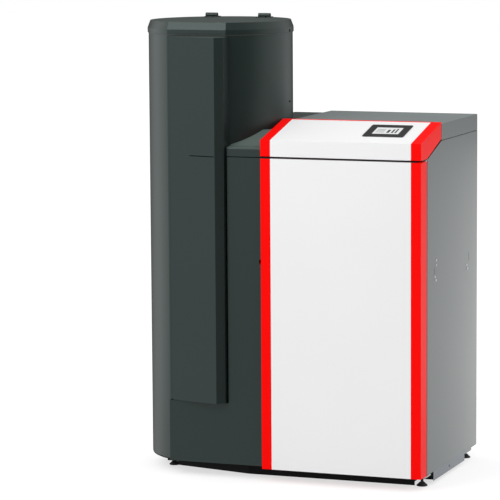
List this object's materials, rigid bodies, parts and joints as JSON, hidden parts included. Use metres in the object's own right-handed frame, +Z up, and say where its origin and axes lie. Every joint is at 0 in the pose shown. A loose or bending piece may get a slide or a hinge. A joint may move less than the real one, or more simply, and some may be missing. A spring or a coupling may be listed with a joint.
{
  "type": "pellet boiler",
  "caption": "Floor-standing pellet boiler with a white and red hinged door, sloped console with display, and a round lidded pellet hopper on its left.",
  "frame": {"origin": "on the floor under the middle of the whole appliance", "axes": "+Z up, the door faces -Y, +X to the right seen from the front"},
  "size_m": [1.1323, 0.782, 1.6701],
  "materials": {
    "grey_paint": "satin powder coat",
    "side_grey_paint": "satin powder coat",
    "light_grey_paint": "satin paint",
    "red_paint": "gloss paint",
    "white_paint": "gloss paint",
    "black_paint": "matt paint",
    "black_plastic": "satin",
    "screen_glass": "gloss",
    "rubber": "matt",
    "bare_steel": "zinc plated",
    "cast_iron": "matt",
    "brass": "satin",
    "wool": "mineral wool",
    "cast_aluminium": "cast"
  },
  "bodies": {
    "casing": {"hopper_front_panel": "grey_paint", "hopper_top_cover": "grey_paint", "hopper_front_shell": "grey_paint", "hopper_rear_shell": "grey_paint", "hopper_cover": "grey_paint", "hopper_rear_deck": "grey_paint", "side_bridge_cover": "grey_paint", "lid_hinge_back_leaves": "grey_paint", "right_side_panel": "side_grey_paint", "left_side_panel": "side_grey_paint", "rear_panel": "side_grey_paint", "base_side_plate": "light_grey_paint", "console_frame": "red_paint", "console_panel": "white_paint", "base_frame": "black_paint", "front_plinth": "black_paint", "boiler_body": "black_paint", "hopper_floor": "black_paint", "lid_hinge_pins": "black_paint", "shell_screws": "black_paint", "display_bezel": "black_plastic", "finger_cup": "black_plastic", "switch_frame": "black_plastic", "safety_thermostat": "black_plastic", "control_box": "black_plastic", "cable_gland": "black_plastic", "display_screen": "screen_glass", "levelling_feet": "rubber", "hopper_seal": "rubber", "door_hinge_pivots": "bare_steel", "side_panel_screws": "bare_steel", "flue_spigot": "bare_steel", "smoke_box": "bare_steel", "fan_housing": "bare_steel", "feed_tube": "bare_steel", "feed_bearing": "bare_steel", "hopper_funnel": "bare_steel", "inner_front_panel": "bare_steel", "ash_box": "bare_steel", "heat_exchanger": "bare_steel", "fire_door_handle": "bare_steel", "fire_door": "cast_iron", "burner_pot": "cast_iron", "door_magnet": "cast_iron", "flow_connection": "brass", "return_connection": "brass", "drain_valve": "brass", "boiler_lagging": "wool", "auger_gearmotor": "cast_aluminium", "fan_motor": "cast_aluminium"},
    "door": {"door_tray": "red_paint", "door_panel": "white_paint", "door_hinge_bushes": "bare_steel", "door_strike": "bare_steel"},
    "boiler_lid": {"boiler_lid": "side_grey_paint"},
    "hopper_lid": {"hopper_lid": "grey_paint", "lid_hinge_front_leaves": "grey_paint"},
    "feed_auger": {"feed_auger": "bare_steel"},
    "fan_wheel": {"fan_wheel": "bare_steel"},
    "switch_rocker": {"switch_rocker": "black_plastic"}
  },
  "joints": [
    {"name": "door_swing", "type": "hinge", "parent": "casing", "child": "door", "pos_m": [0.55815, -0.305, 0.6], "axis": [0, 0, 1], "range_deg": [0, 105]},
    {"name": "hopper_lid_swing", "type": "hinge", "parent": "casing", "child": "hopper_lid", "pos_m": [-0.29785, 0.104, 1.6621], "axis": [-1, 0, 0], "range_deg": [0, 95]},
    {"name": "boiler_lid_lift", "type": "slide", "parent": "casing", "child": "boiler_lid", "axis": [0, 0, 1], "range_m": [0, 0.25]},
    {"name": "feed_auger_spin", "type": "hinge", "parent": "casing", "child": "feed_auger", "pos_m": [-0.03585, -0.076, 0.4], "axis": [1, 0, 0], "continuous": true},
    {"name": "fan_wheel_spin", "type": "hinge", "parent": "casing", "child": "fan_wheel", "pos_m": [0.21415, 0.269, 0.95], "axis": [0, 1, 0], "continuous": true},
    {"name": "main_switch_tilt", "type": "hinge", "parent": "casing", "child": "switch_rocker", "pos_m": [0.48415, -0.2875, 1.09], "axis": [1, 0, 0], "range_deg": [0, 12]}
  ]
}
